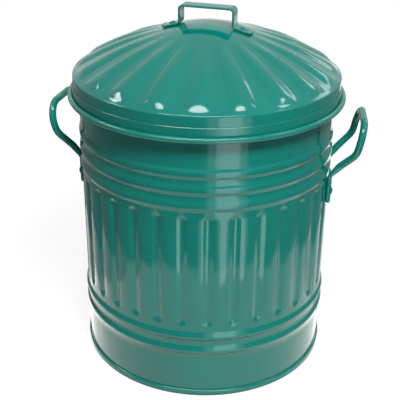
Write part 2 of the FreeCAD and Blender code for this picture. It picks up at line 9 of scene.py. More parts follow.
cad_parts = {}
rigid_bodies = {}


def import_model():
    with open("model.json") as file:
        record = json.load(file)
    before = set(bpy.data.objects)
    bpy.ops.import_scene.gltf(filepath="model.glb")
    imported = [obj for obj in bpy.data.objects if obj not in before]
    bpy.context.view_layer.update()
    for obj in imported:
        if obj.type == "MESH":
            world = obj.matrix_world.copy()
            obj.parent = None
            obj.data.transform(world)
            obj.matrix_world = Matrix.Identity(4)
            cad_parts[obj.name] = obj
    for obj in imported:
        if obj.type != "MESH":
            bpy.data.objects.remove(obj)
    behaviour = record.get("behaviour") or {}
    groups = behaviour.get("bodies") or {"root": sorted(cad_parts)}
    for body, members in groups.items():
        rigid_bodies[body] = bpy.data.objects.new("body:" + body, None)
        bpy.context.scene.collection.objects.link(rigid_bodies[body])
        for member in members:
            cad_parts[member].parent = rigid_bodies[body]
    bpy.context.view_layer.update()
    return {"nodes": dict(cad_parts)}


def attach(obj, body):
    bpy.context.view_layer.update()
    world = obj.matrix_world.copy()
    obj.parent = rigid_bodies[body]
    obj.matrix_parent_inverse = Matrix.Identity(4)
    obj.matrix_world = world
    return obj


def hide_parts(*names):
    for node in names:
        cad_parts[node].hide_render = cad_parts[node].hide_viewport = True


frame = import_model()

MM = 0.001

# ---------------------------------------------------------------- sizes
# In mm, as in the solids but for the upper ribs, the ends of the flutes and the ridges, which
# are softer here.
SHEET, SEAT_GAP = 0.8, 0.3
BODY_RADIUS, BODY_HEIGHT = 165.9, 393.9
RIM_BEAD_RADIUS, RIM_CURL_END = 3.2, 130.0
LOWER_RIBS, UPPER_RIBS = (70.3, 91.4), (277.0, 298.0, 319.0)
LOWER_RIB_REACH, LOWER_RIB_PROUD = 5.6, 2.8
UPPER_RIB_REACH, UPPER_RIB_PROUD = 7.6, 1.9
FLUTE_COUNT, FLUTE_REACH, FLUTE_DEPTH = 32, 7.5, 2.7
FLUTE_LOW, FLUTE_HIGH = 114.0, 257.5
FIRST_FLUTE = -math.pi / 2

HEM_PROUD, HEM_HEIGHT = 2.8, 8.0
FLANGE_REACH = 1.3
BASE_RECESS, BASE_STEP_RADIUS, BASE_STEP_HEIGHT, BASE_STEP_RUN = 13.0, 122.0, 3.0, 8.0
BASE_BENDS = (2.4, 1.4, 1.3, 4, 4, 4)

SKIRT_RADIUS, SKIRT_DEPTH, HOOP_DROP, HOOP_LAP = 172.8, 30.8, 13.3, 10.0
SHOULDER_ROUND, LID_BEAD_RADIUS, LID_CURL_END = 2.6, 3.5, 130.0
HOOP_BEVEL = 0.35
CROWN_RISE, CROWN_RADIUS, CROWN_MIDDLE = 61.2, 166.0, 43.0
RIDGE_COUNT, RIDGE_PHASE, RIDGE_HEIGHT, RIDGE_SHARE = 20, 13.0, 3.8, 0.70
RIDGE_START, RIDGE_END, RIDGE_RISE, RIDGE_FALL = 50.0, 168.5, 75.0, 12.0
LID_TURN = -6.35

HANDLE_SETBACK, FOOT_ANGLE = 4.5, 11.25
ROD_RADIUS, FOOT_WIDTH, FOOT_THICKNESS, FOOT_BOTTOM = 4.75, 12.5, 6.0, 227.0
FOOT_BEND_HEIGHT, FLAT_RUN_OUT, FLAT_RUN_UP = 266.5, 12.5, 15.0
FLAT_PAST_BEND, FLAT_TO_ROUND = 3.0, 16.0
ELBOW = (196.5, -41.5, 300.0)
BOW = (204.5, -49.5, 338.4)
BOW_BENDS = (10.0, 14.0, 24.0, 25.0)
RIVET_HEIGHT = 245.0
RIVET_SHANK, RIVET_HEAD, RIVET_HEAD_RISE = 2.5, 5.0, 2.2
RIVET_TAIL, RIVET_TAIL_RISE = 4.2, 1.6
RIVET_EDGE_RISE, RIVET_EDGE_INSET = 0.25, 0.15
WASHER_RADIUS, WASHER_BORE, WASHER_THICKNESS, WASHER_BEVEL = 5.5, 2.65, 1.0, 0.15

STRAP_WIDTH, STRAP_THICKNESS, STRAP_SPAN, STRAP_RISE = 20.0, 2.5, 72.8, 22.2
STRAP_BEND, STRAP_FOOT_BEND, STRAP_FOOT, STRAP_EDGE = 3.5, 3.0, 23.0, 0.7
STRAP_TIP, STRAP_TIP_RISE, STRAP_CORNER, STRAP_RIVET_OFFSET = 4.0, 1.0, 5.0, 9.5

# sizes that follow
RIB_GROUPS = ((LOWER_RIBS, LOWER_RIB_REACH, LOWER_RIB_PROUD),
              (UPPER_RIBS, UPPER_RIB_REACH, UPPER_RIB_PROUD))
WALL_INSIDE = BODY_RADIUS - SHEET
RIM_CENTRE = (WALL_INSIDE + RIM_BEAD_RADIUS, BODY_HEIGHT - RIM_BEAD_RADIUS)
FOOT_CENTRE = BODY_RADIUS + SEAT_GAP + FOOT_THICKNESS / 2
CROWN_SLOPE = math.asin(CROWN_MIDDLE / CROWN_RADIUS)
CROWN_DROP = CROWN_RADIUS * (1 - math.cos(CROWN_SLOPE))
CHORD_SLOPE = math.atan2(CROWN_RISE - CROWN_DROP, SKIRT_RADIUS - CROWN_MIDDLE)
SHOULDER_SLOPE = 2 * CHORD_SLOPE - CROWN_SLOPE
OUTER_RADIUS = (SKIRT_RADIUS - CROWN_MIDDLE) / (math.sin(SHOULDER_SLOPE) - math.sin(CROWN_SLOPE))
OUTER_CENTRE_R = CROWN_MIDDLE - OUTER_RADIUS * math.sin(CROWN_SLOPE)
OUTER_CENTRE_Z = RIM_CENTRE[1] - math.sqrt((OUTER_RADIUS - SHEET - SEAT_GAP - RIM_BEAD_RADIUS)**2
                                           - (RIM_CENTRE[0] - OUTER_CENTRE_R)**2)
SHOULDER_HEIGHT = OUTER_CENTRE_Z + OUTER_RADIUS * math.cos(SHOULDER_SLOPE)
CROWN_TOP = SHOULDER_HEIGHT + CROWN_RISE
FIRST_RIDGE = math.radians(RIDGE_PHASE - 90)
RIDGE_HALF = math.pi / RIDGE_COUNT * RIDGE_SHARE
HOOP_TOP = SHOULDER_HEIGHT - HOOP_DROP
LID_BEAD_CENTRE = (SKIRT_RADIUS + SEAT_GAP + LID_BEAD_RADIUS,
                   SHOULDER_HEIGHT - SKIRT_DEPTH + LID_BEAD_RADIUS)

# fineness of the meshes
BASE_STEPS, HOOP_STEPS, SMALL_STEPS, RING_STEPS = 288, 320, 32, 64
PLAIN_HEIGHTS = (12, 24, 40, 55, 80.8, 100.5, 330, 345, 360, 375)   # of the wall, between details
CROWN_RINGS = ((0, 44, 10), (47, 86, 14), (90, 152, 16), (154, 168, 12))    # from, to and count
SHARP_ANGLE, STRAP_SHARP_ANGLE = 38, 30


# ---------------------------------------------------------------- paths
def arc_points(centre, radius, start, end, count):
    """Points of an arc in the radius-height plane, angles in degrees."""
    turns = np.radians(np.linspace(start, end, count))
    return np.stack([centre[0] + radius * np.cos(turns), centre[1] + radius * np.sin(turns)], 1)


def run(start, end, step):
    """Points from start up to but not including end."""
    start, end = np.array(start, float), np.array(end, float)
    count = max(1, round(float(np.linalg.norm(end - start)) / step))
    return start + (end - start) * (np.arange(count) / count)[:, None]


def rounded(points, radii, step=3.0, per_turn=32):
    """Points along straight runs joined by tangent arcs; works in two or three dimensions."""
    points = [np.array(p, float) for p in points]
    out, start = [], points[0]
    for before, corner, after, radius in zip(points, points[1:], points[2:], radii):
        back = (before - corner) / np.linalg.norm(before - corner)
        ahead = (after - corner) / np.linalg.norm(after - corner)
        half = math.acos(float(np.clip(back @ ahead, -1, 1))) / 2
        enter = corner + back * radius / math.tan(half)
        centre = corner + (back + ahead) / np.linalg.norm(back + ahead) * radius / math.sin(half)
        sweep = math.pi - 2 * half
        if np.linalg.norm(enter - start) > 1e-6:
            out.append(run(start, enter, step))
        arm = (enter - centre) / radius
        count = max(3, round(per_turn * sweep / math.tau * 2))
        for turn in np.arange(count) / count * sweep:
            out.append([centre + radius * (arm * math.cos(turn) - back * math.sin(turn))])
        start = centre + radius * (arm * math.cos(sweep) - back * math.sin(sweep))
    out.append(run(start, points[-1], step))
    out.append([points[-1]])
    return np.concatenate(out)


def directions(path):
    """Unit vectors along a path."""
    steps = np.gradient(path, axis=0)
    return steps / np.linalg.norm(steps, axis=1)[:, None]


def normals(path):
    """Unit normals to the left of a path in the plane."""
    tangent = directions(path)
    return np.stack([-tangent[:, 1], tangent[:, 0]], 1)


def lengths_along(path):
    """Distance of each point of a path from its start."""
    return np.concatenate([[0], np.cumsum(np.linalg.norm(np.diff(path, axis=0), axis=1))])


def ease(share):
    """Smooth step from zero to one."""
    return share * share * (3 - 2 * share)


def pressed(t):
    """Smooth bulge of height one from -1 to 1, and zero beyond."""
    return np.maximum(0, 1 - t * t)**1.5


# ---------------------------------------------------------------- meshes
def add_object(name, data):
    item = bpy.data.objects.new(name, data)
    bpy.context.collection.objects.link(item)
    return item


def new_piece(name, verts, faces, body, node, material, sharp=SHARP_ANGLE):
    """A smooth piece, verts in mm, that moves with a body and takes the place of a CAD node."""
    mesh = bpy.data.meshes.new(name)
    mesh.from_pydata((np.asarray(verts) * MM).tolist(), [], faces)
    mesh.validate()
    mesh.shade_smooth()
    mesh.set_sharp_from_angle(angle=math.radians(sharp))
    mesh.materials.append(material)
    piece = add_object(name, mesh)
    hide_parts(node)
    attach(piece, body)


def skin(rows, joined):
    """Verts and faces of rings of points; a ring of one point closes to a tip."""
    verts, faces, starts = [], [], []
    for row in rows:
        starts.append(len(verts))
        verts += list(row)
    pairs = list(zip(range(len(rows)), range(1, len(rows))))
    if joined:
        pairs.append((len(rows) - 1, 0))
    for a, b in pairs:
        na, nb, sa, sb = len(rows[a]), len(rows[b]), starts[a], starts[b]
        for i in range(max(na, nb)):
            j = (i + 1) % max(na, nb)
            if na == 1:
                faces.append((sa, sb + j, sb + i))
            elif nb == 1:
                faces.append((sa + i, sa + j, sb))
            else:
                faces.append((sa + i, sa + j, sb + j, sb + i))
    return verts, faces


def turned_rows(loop, angles, press=None):
    """Rings of points from a section; press gives radial and upright changes of shape."""
    cos, sin = np.cos(angles), np.sin(angles)
    rows = []
    for radius, height in loop:
        if radius < 1e-6:
            rows.append([(0.0, 0.0, height)])
            continue
        move_r, move_z = press(radius, height, angles) if press else (0.0, 0.0)
        r = radius + move_r
        rows.append(np.stack([r * cos, r * sin, np.full_like(angles, height) + move_z], 1))
    return rows


def turned_about(verts, degrees):
    turn = Matrix.Rotation(math.radians(degrees), 3, "Z")
    return np.asarray(verts) @ np.array(turn).T


def even_angles(count):
    return np.linspace(0, math.tau, count, endpoint=False)


def uneven_angles(count, phase, reach, fine, coarse):
    """Angles round the axis, finely spaced within reach of each of count features."""
    pitch = math.tau / count
    near = np.linspace(-reach, reach, fine + 1)
    far = np.linspace(reach, pitch - reach, coarse + 1)[1:-1]
    one = np.concatenate([near, far])
    return np.concatenate([one + phase + i * pitch for i in range(count)])


def off_nearest(angles, count, phase):
    """Angles from the nearest of count features that are evenly spaced from phase."""
    pitch = math.tau / count
    return (angles - phase + pitch / 2) % pitch - pitch / 2


# ---------------------------------------------------------------- bin
def rib_swell(height):
    """How far the rolled ribs push the wall out."""
    swell = 0.0
    for centres, reach, proud in RIB_GROUPS:
        for centre in centres:
            swell = swell + proud * pressed((height - centre) / reach)
    return swell


def flute_press(_radius, height, angles):
    """How far the pressed flutes draw the wall in."""
    off = off_nearest(angles, FLUTE_COUNT, FIRST_FLUTE)
    beyond = max(0.0, height - FLUTE_HIGH, FLUTE_LOW - height)
    return -FLUTE_DEPTH * pressed(np.hypot(off * BODY_RADIUS, beyond) / FLUTE_REACH), 0.0


def wall_heights():
    """Heights of the wall's rings of points, close together where its shape changes."""
    heights = list(PLAIN_HEIGHTS) + list(np.linspace(FLUTE_LOW, FLUTE_HIGH, 9)[1:-1])
    for centres, reach, _ in RIB_GROUPS:
        for centre in centres:
            heights += list(centre + np.linspace(-reach, reach, 9))
    for end, way in ((FLUTE_LOW, -1), (FLUTE_HIGH, 1)):
        heights += list(end + way * np.linspace(0, FLUTE_REACH, 7))
    return np.array(sorted(set(np.round(heights, 3))))


def body_skin(material):
    """The wall with its flange at the foot and its edge curled outwards at the top."""
    heights = wall_heights()
    wall = np.stack([WALL_INSIDE + rib_swell(heights), heights], 1)
    edge = SHEET + SEAT_GAP
    foot = rounded([(BODY_RADIUS + FLANGE_REACH, edge), (WALL_INSIDE, edge),
                    (WALL_INSIDE, HEM_HEIGHT)], [edge], step=2.0)
    bead = arc_points(RIM_CENTRE, RIM_BEAD_RADIUS, 180, -RIM_CURL_END, count=22)
    path = np.concatenate([foot, wall, bead])
    other = path - normals(path) * SHEET
    loop = np.concatenate([path, other[::-1]])
    angles = uneven_angles(FLUTE_COUNT, FIRST_FLUTE, FLUTE_REACH / BODY_RADIUS, fine=10, coarse=2)
    verts, faces = skin(turned_rows(loop, angles, flute_press), joined=True)
    new_piece("fluted_wall", verts, faces, "bin", "body_shell", material)


def base_skin(material):
    """The bottom: a recessed pan with a raised middle, whose hem laps the foot of the wall."""
    hug, outer = WALL_INSIDE - SEAT_GAP - SHEET, BODY_RADIUS + HEM_PROUD
    raised = BASE_RECESS + BASE_STEP_HEIGHT
    points = [(BODY_RADIUS + SEAT_GAP, HEM_HEIGHT), (outer, HEM_HEIGHT), (outer, 0), (hug, 0),
              (hug, BASE_RECESS), (BASE_STEP_RADIUS, BASE_RECESS),
              (BASE_STEP_RADIUS - BASE_STEP_RUN, raised), (0, raised)]
    path = rounded(points, BASE_BENDS, step=6.0, per_turn=40)
    other = path - normals(path) * SHEET
    other[-1] = (0, raised + SHEET)
    loop = np.concatenate([path[::-1], other])
    verts, faces = skin(turned_rows(loop, even_angles(BASE_STEPS)), joined=False)
    new_piece("seamed_base", verts, faces, "bin", "base_pan", material)


def stadium(half_width, half_thickness, count=24):
    """Offsets across and square to it for a section with round narrow ends."""
    turns = (np.arange(count) + 0.5) * math.tau / count
    across = np.sign(np.cos(turns)) * (half_width - half_thickness) + half_thickness * np.cos(turns)
    return across, half_thickness * np.sin(turns)


def handle_half():
    """Rings of the bow handle from the tip of one foot to its middle plane."""
    angle = math.radians(FOOT_ANGLE)
    outward = np.array([math.cos(angle), -math.sin(angle), 0])
    across = np.array([math.sin(angle), math.cos(angle), 0])
    up = np.array([0, 0, 1.0])
    low = outward * FOOT_CENTRE + up * FOOT_BOTTOM
    bend = outward * FOOT_CENTRE + up * FOOT_BEND_HEIGHT
    kink = bend + outward * FLAT_RUN_OUT + up * FLAT_RUN_UP
    middle = (BOW[0], 0, BOW[2])
    path = rounded([low, bend, kink, ELBOW, BOW, middle], BOW_BENDS, step=2.2, per_turn=48)
    tip = FOOT_WIDTH / 2 * (1 - np.cos(np.radians(np.arange(0, 91, 9))))
    past_tip = path[np.linalg.norm(path - low, axis=1) > tip[-1]]
    path = np.concatenate([low + up * tip[:, None], past_tip])
    tangent = directions(path)
    tangent[-1] = (0, 1, 0)
    flat_end = FOOT_BEND_HEIGHT - FOOT_BOTTOM + FLAT_PAST_BEND
    rows = []
    for point, along, s in zip(path, tangent, lengths_along(path)):
        across = across - along * (across @ along)
        across = across / np.linalg.norm(across)
        if s == 0:
            rows.append([point])
            continue
        square = np.cross(along, across)
        blend = ease(float(np.clip((s - flat_end) / FLAT_TO_ROUND, 0, 1)))
        wide, thick = FOOT_WIDTH / 2, FOOT_THICKNESS / 2
        wide += (ROD_RADIUS - wide) * blend
        thick += (ROD_RADIUS - thick) * blend
        if s < FOOT_WIDTH / 2:
            wide = math.sqrt(max(0, 2 * wide * s - s * s))
        if s < thick:
            thick *= math.sqrt(max(0, 1 - (1 - s / thick)**2))
        a, b = stadium(max(wide, thick), thick)
        rows.append(point + a[:, None] * across + b[:, None] * square)
    return rows


def handle_skin(name, azimuth, material):
    half = handle_half()
    mirror = np.array([1, -1, 1])
    rows = half + [np.asarray(row) * mirror for row in half[-2::-1]]
    verts, faces = skin(rows, joined=False)
    new_piece("bow_" + name, turned_about(verts, azimuth), faces,
              "bin", "handle_" + name, material)


def dome(radius, rise, base, count=9):
    """Section of a round head from its edge to the axis; a negative rise hangs down."""
    ball = (radius**2 + rise**2) / (2 * rise)
    turns = np.linspace(math.asin(radius / ball), 0, count)
    return np.stack([ball * np.sin(turns), base + rise - ball * (1 - np.cos(turns))], 1)


def rivet_loop(grip):
    """Section of a rivet from the top of its head, which seats at zero, to its tail."""
    head = dome(RIVET_HEAD, RIVET_HEAD_RISE, RIVET_EDGE_RISE)
    tail = dome(RIVET_TAIL, -RIVET_TAIL_RISE, -grip)
    head[-1][0] = tail[-1][0] = 0
    head[:, 1] -= RIVET_EDGE_RISE * (head[:, 1] - RIVET_EDGE_RISE) / RIVET_HEAD_RISE
    neck = [(RIVET_HEAD - RIVET_EDGE_INSET, 0), (RIVET_SHANK, 0), (RIVET_SHANK, -grip)]
    return np.concatenate([head[::-1], neck, tail])


def washer_loop():
    return np.array([(WASHER_BORE, 0), (WASHER_RADIUS - WASHER_BEVEL, 0),
                     (WASHER_RADIUS, WASHER_BEVEL),
                     (WASHER_RADIUS, WASHER_THICKNESS - WASHER_BEVEL),
                     (WASHER_RADIUS - WASHER_BEVEL, WASHER_THICKNESS),
                     (WASHER_BORE, WASHER_THICKNESS)])


def small_turned(name, loop, joined, place, body, node, material):
    """A rivet or washer, turned from its section and put in place by a matrix."""
    verts, faces = skin(turned_rows(loop, even_angles(SMALL_STEPS)), joined)
    verts = [tuple(place @ Vector(v)) for v in verts]
    new_piece(name, verts, faces, body, node, material)


def side_place(distance, azimuth):
    """Matrix that points a turned piece outwards at rivet height."""
    return (Matrix.Rotation(math.radians(azimuth), 4, "Z")
            @ Matrix.Translation((distance, 0, RIVET_HEIGHT))
            @ Matrix.Rotation(math.pi / 2, 4, "Y"))


def bow_handles(material):
    """Both bows, each with two rivets and two washers."""
    washer_face = math.sqrt(WALL_INSIDE**2 - WASHER_RADIUS**2) - SEAT_GAP
    foot_face = FOOT_CENTRE + FOOT_THICKNESS / 2
    grip = foot_face - washer_face + WASHER_THICKNESS
    for side_name, azimuth in (("right", HANDLE_SETBACK), ("left", 180 - HANDLE_SETBACK)):
        handle_skin(side_name, azimuth, material)
        for number, side in enumerate((-1, 1), 1):
            foot = azimuth + side * FOOT_ANGLE
            label = "handle_%s_rivet_%d" % (side_name, number)
            small_turned("bow_rivet_%s_%d" % (side_name, number), rivet_loop(grip), False,
                         side_place(foot_face, foot), "bin", label, material)
            small_turned("bow_washer_%s_%d" % (side_name, number), washer_loop(), True,
                         side_place(washer_face - WASHER_THICKNESS, foot), "bin",
                         label.replace("rivet", "washer"), material)


# ---------------------------------------------------------------- lid
def crown_height(radius):
    """Height of the smooth outer face of the crown."""
    if radius < CROWN_MIDDLE:
        return CROWN_TOP - CROWN_RADIUS + math.sqrt(CROWN_RADIUS**2 - radius**2)
    return OUTER_CENTRE_Z + math.sqrt(OUTER_RADIUS**2 - (radius - OUTER_CENTRE_R)**2)


def crown_slope(radius):
    """Slope of the crown outside its middle."""
    return math.asin((radius - OUTER_CENTRE_R) / OUTER_RADIUS)


def ridge_press(radius, _height, angles):
    """How far the pressed ridges lift the crown."""
    t = off_nearest(angles, RIDGE_COUNT, FIRST_RIDGE) / RIDGE_HALF
    rise = np.clip((radius - RIDGE_START) / RIDGE_RISE, 0, 1)
    fall = np.clip((RIDGE_END - radius) / RIDGE_FALL, 0, 1)
    fade = ease(rise) * np.sin(math.pi / 2 * fall)
    return 0.0, RIDGE_HEIGHT * fade * np.maximum(0, 1 - t * t)


def crown_skin(material):
    """The domed crown with its ridges and its short straight skirt."""
    radii = np.concatenate([np.linspace(*rings) for rings in CROWN_RINGS])
    crown = np.array([(r, crown_height(r)) for r in radii])
    reach = OUTER_RADIUS - SHOULDER_ROUND
    lean = math.degrees(math.acos((SKIRT_RADIUS - SHOULDER_ROUND - OUTER_CENTRE_R) / reach))
    centre = (OUTER_CENTRE_R + reach * math.cos(math.radians(lean)),
              OUTER_CENTRE_Z + reach * math.sin(math.radians(lean)))
    shoulder = arc_points(centre, SHOULDER_ROUND, lean, 0, count=9)
    end = (SKIRT_RADIUS, HOOP_TOP - HOOP_LAP)
    skirt = run((SKIRT_RADIUS, centre[1] - 1), end, 3.0)
    path = np.concatenate([crown, shoulder, skirt, [end]])
    other = path - normals(path) * SHEET
    other[0] = (0, path[0][1] - SHEET)
    loop = np.concatenate([path, other[::-1]])
    angles = uneven_angles(RIDGE_COUNT, FIRST_RIDGE, RIDGE_HALF, fine=12, coarse=4)
    verts, faces = skin(turned_rows(loop, angles, ridge_press), joined=False)
    new_piece("ribbed_crown", turned_about(verts, LID_TURN), faces, "lid", "lid_crown", material)


def hoop_skin(material):
    """The band round the skirt, bevelled at its upper edge and curled outwards at its lower."""
    inside = SKIRT_RADIUS + SEAT_GAP
    band = run((inside, HOOP_TOP), (inside, LID_BEAD_CENTRE[1]), 3.0)
    bead = arc_points(LID_BEAD_CENTRE, LID_BEAD_RADIUS, 180, 360 + LID_CURL_END, count=38)
    path = np.concatenate([band, bead])
    outer = path + normals(path) * SHEET
    outer[0] += (-HOOP_BEVEL, 0)
    bevel = outer[:1] + [(HOOP_BEVEL, -HOOP_BEVEL)]
    loop = np.concatenate([path, outer[:0:-1], bevel, outer[:1]])
    verts, faces = skin(turned_rows(loop, even_angles(HOOP_STEPS)), joined=True)
    new_piece("skirt_hoop", turned_about(verts, LID_TURN), faces, "lid", "lid_hoop", material)


def strap_seat(side):
    """Where the middle of a strap foot sits on the crown, and the direction square to it."""
    reach = STRAP_SPAN / 2 + STRAP_RIVET_OFFSET
    slope = crown_slope(reach)
    normal = Vector((side * math.sin(slope), 0, math.cos(slope)))
    return Vector((side * reach, 0, crown_height(reach))) + normal * SEAT_GAP, normal


def strap_side(side):
    """Corners of the strap's lower face from the tip of one foot to the top of its leg."""
    seat, _ = strap_seat(side)
    fall = math.tan(crown_slope(abs(seat.x)))
    leg, tip = STRAP_SPAN / 2 - STRAP_THICKNESS, STRAP_SPAN / 2 + STRAP_FOOT

    def under(reach, rise=0.0):
        return side * reach, seat.z - (reach - abs(seat.x)) * fall + rise

    return [under(tip, STRAP_TIP_RISE), under(tip - STRAP_TIP), under(leg),
            (side * leg, CROWN_TOP + STRAP_RISE - STRAP_THICKNESS)]


def strap_skin(material):
    """The bent strap, with round corners at its feet and rounded edges."""
    points = strap_side(-1) + strap_side(1)[::-1]
    bend = STRAP_FOOT_BEND + STRAP_THICKNESS
    path = rounded(points, [STRAP_TIP, bend, STRAP_BEND, STRAP_BEND, bend, STRAP_TIP],
                   step=1.0, per_turn=64)
    along = lengths_along(path)
    from_end = np.minimum(along, along[-1] - along)
    high, low = STRAP_THICKNESS - STRAP_EDGE, STRAP_EDGE
    rows = []
    for (x, z), (nx, nz), s in zip(path, normals(path), from_end):
        half = STRAP_WIDTH / 2
        if s < STRAP_CORNER:
            half -= STRAP_CORNER - math.sqrt(STRAP_CORNER**2 - (STRAP_CORNER - s)**2)
        flat = half - STRAP_EDGE
        ring = []
        for side, level, start in ((1, high, 0), (-1, high, 90), (-1, low, 180), (1, low, 270)):
            for degrees in np.linspace(start, start + 90, 4):
                turn = math.radians(degrees)
                y = side * flat + STRAP_EDGE * math.cos(turn)
                h = level + STRAP_EDGE * math.sin(turn)
                ring.append((x + nx * h, y, z + nz * h))
            if start in (0, 180):
                for share in (0.25, 0.5, 0.75):
                    y = side * flat * (1 - 2 * share)
                    h = STRAP_THICKNESS if start == 0 else 0.0
                    ring.append((x + nx * h, y, z + nz * h))
        rows.append(ring)
    rows.insert(0, [tuple(np.mean(rows[0], axis=0))])
    rows.append([tuple(np.mean(rows[-1], axis=0))])
    verts, faces = skin(rows, joined=False)
    new_piece("lid_strap", turned_about(verts, LID_TURN), faces,
              "lid", "lid_handle", material, STRAP_SHARP_ANGLE)


def strap_rivets(material):
    """The rivet and the washer of each strap foot; the washers lie below the crown."""
    sag = CROWN_RADIUS - math.sqrt(CROWN_RADIUS**2 - WASHER_RADIUS**2)
    washer_top = -SEAT_GAP - SHEET - sag - SEAT_GAP
    grip = STRAP_THICKNESS - washer_top + WASHER_THICKNESS
    turn = Matrix.Rotation(math.radians(LID_TURN), 4, "Z")
    for side_name, side in (("right", 1), ("left", -1)):
        seat, up = strap_seat(side)
        lean = Matrix.Rotation(math.atan2(up.x, up.z), 4, "Y")
        small_turned("strap_rivet_" + side_name, rivet_loop(grip), False,
                     turn @ Matrix.Translation(seat + up * STRAP_THICKNESS) @ lean,
                     "lid", "lid_rivet_" + side_name, material)
        small_turned("strap_washer_" + side_name, washer_loop(), True,
                     turn @ Matrix.Translation(seat + up * (washer_top - WASHER_THICKNESS)) @ lean,
                     "lid", "lid_washer_" + side_name, material)


# ---------------------------------------------------------------- shader nodes
BLACK, WHITE = (0, 0, 0, 1), (1, 1, 1, 1)


def new_material(name, slot=None):
    material = bpy.data.materials.new(name)
    material.use_nodes = True
    if slot:
        material["slot"] = slot
    return material, material.node_tree


def noise(tree, scale, detail, stretch=(1, 1, 1)):
    """Noise in the object's own coordinates, from zero to one."""
    mapping = tree.nodes.new("ShaderNodeMapping")
    mapping.inputs["Scale"].default_value = stretch
    place = tree.nodes.new("ShaderNodeTexCoord").outputs["Object"]
    tree.links.new(place, mapping.inputs["Vector"])
    texture = tree.nodes.new("ShaderNodeTexNoise")
    texture.inputs["Scale"].default_value = scale
    texture.inputs["Detail"].default_value = detail
    tree.links.new(mapping.outputs["Vector"], texture.inputs["Vector"])
    return texture.outputs["Fac"]


def ramp(tree, value, stops):
    """Colour that blends between two stops, each a position and a colour."""
    band = tree.nodes.new("ShaderNodeValToRGB")
    tree.links.new(value, band.inputs["Fac"])
    for element, (position, shade) in zip(band.color_ramp.elements, stops):
        element.position, element.color = position, shade
    return band.outputs["Color"]


def bump(tree, height, depth, before=None):
    """Normal bent by a height that is depth mm deep, on top of an earlier one."""
    node = tree.nodes.new("ShaderNodeBump")
    node.inputs["Strength"].default_value = 1.0
    node.inputs["Distance"].default_value = depth * MM
    tree.links.new(height, node.inputs["Height"])
    if before:
        tree.links.new(before, node.inputs["Normal"])
    return node.outputs["Normal"]


def map_range(tree, value, onto, given=(0.0, 1.0)):
    """Value moved from the given range onto another."""
    node = tree.nodes.new("ShaderNodeMapRange")
    tree.links.new(value, node.inputs["Value"])
    node.inputs["From Min"].default_value, node.inputs["From Max"].default_value = given
    node.inputs["To Min"].default_value, node.inputs["To Max"].default_value = onto
    return node.outputs["Result"]


def combined(tree, operation, first, second):
    """Two values combined; the second can be a plain number."""
    node = tree.nodes.new("ShaderNodeMath")
    node.operation = operation
    tree.links.new(first, node.inputs[0])
    if isinstance(second, float):
        node.inputs[1].default_value = second
    else:
        tree.links.new(second, node.inputs[1])
    return node.outputs[0]


# ---------------------------------------------------------------- materials
GREEN = (0.002, 0.245, 0.198)
ROD_GREEN = (0.002, 0.240, 0.192)
DARKER, LIGHTER = (0.86, 0.93, 0.94), (1.12, 1.05, 1.04)    # patches of the paint
DUST_PALER = 0.10
PAINT_IOR, PAINT_ROUGHNESS = 1.34, (0.06, 0.13)
SLACK_DEPTH, PEEL_DEPTH, OXIDE_DEPTH = 0.8, 0.012, 0.02     # mm
WIRE_DARK, WIRE_BRIGHT = (0.30, 0.28, 0.26, 1), (0.52, 0.53, 0.54, 1)
WIRE_ROUGHNESS = (0.3, 0.55)


def tinted(colour, factors):
    return (*(value * factor for value, factor in zip(colour, factors)), 1)


def enamel(name, slot, colour, streaks, dust):
    """Glossy stoved paint over sheet or rod: orange peel, slack sheet, faint streaks and dust."""
    material, tree = new_material(name, slot)
    shader = tree.nodes["Principled BSDF"]

    tone = ramp(tree, noise(tree, 9, 3),
                ((0.3, tinted(colour, DARKER)), (0.7, tinted(colour, LIGHTER))))
    specks = ramp(tree, noise(tree, 260, 4), ((0.60, BLACK), (0.72, WHITE)))
    mix = tree.nodes.new("ShaderNodeMix")
    mix.data_type = "RGBA"
    tree.links.new(combined(tree, "MULTIPLY", specks, dust), mix.inputs["Factor"])
    tree.links.new(tone, mix.inputs["A"])
    mix.inputs["B"].default_value = (*(value + DUST_PALER for value in colour), 1)
    tree.links.new(mix.outputs["Result"], shader.inputs["Base Color"])

    rough = map_range(tree, noise(tree, 35, 5), PAINT_ROUGHNESS, (0.3, 0.7))
    tree.links.new(rough, shader.inputs["Roughness"])

    slack = bump(tree, noise(tree, 14, 1), SLACK_DEPTH)
    peel = bump(tree, noise(tree, 520, 2), PEEL_DEPTH, slack)
    fine = bump(tree, noise(tree, 1, 2, (900, 900, 14)), streaks, peel)
    tree.links.new(fine, shader.inputs["Normal"])
    shader.inputs["IOR"].default_value = PAINT_IOR
    return material


def drawn_wire(name, slot):
    """Plain drawn steel wire with patches of dull oxide."""
    material, tree = new_material(name, slot)
    shader = tree.nodes["Principled BSDF"]
    patches = noise(tree, 120, 5)
    colour = ramp(tree, patches, ((0.35, WIRE_DARK), (0.65, WIRE_BRIGHT)))
    tree.links.new(colour, shader.inputs["Base Color"])
    tree.links.new(map_range(tree, patches, WIRE_ROUGHNESS), shader.inputs["Roughness"])
    tree.links.new(bump(tree, patches, OXIDE_DEPTH), shader.inputs["Normal"])
    shader.inputs["Metallic"].default_value = 1.0
    return material


def carry_over(node, material):
    """A CAD node that keeps its shape gets the better material."""
    piece = frame["nodes"][node]
    for part in [piece] + list(piece.children_recursive):
        if part.type == "MESH":
            for index in range(len(part.data.materials)):
                part.data.materials[index] = material


# ---------------------------------------------------------------- the object
sheet_paint = enamel("sheet_enamel", "green_paint", GREEN, 0.02, 0.10)
hoop_paint = enamel("hoop_enamel", "green_paint", GREEN, 0.12, 0.10)
rod_paint = enamel("rod_enamel", "handle_paint", ROD_GREEN, 0.004, 0.06)
wire = drawn_wire("drawn_wire", "steel_wire")

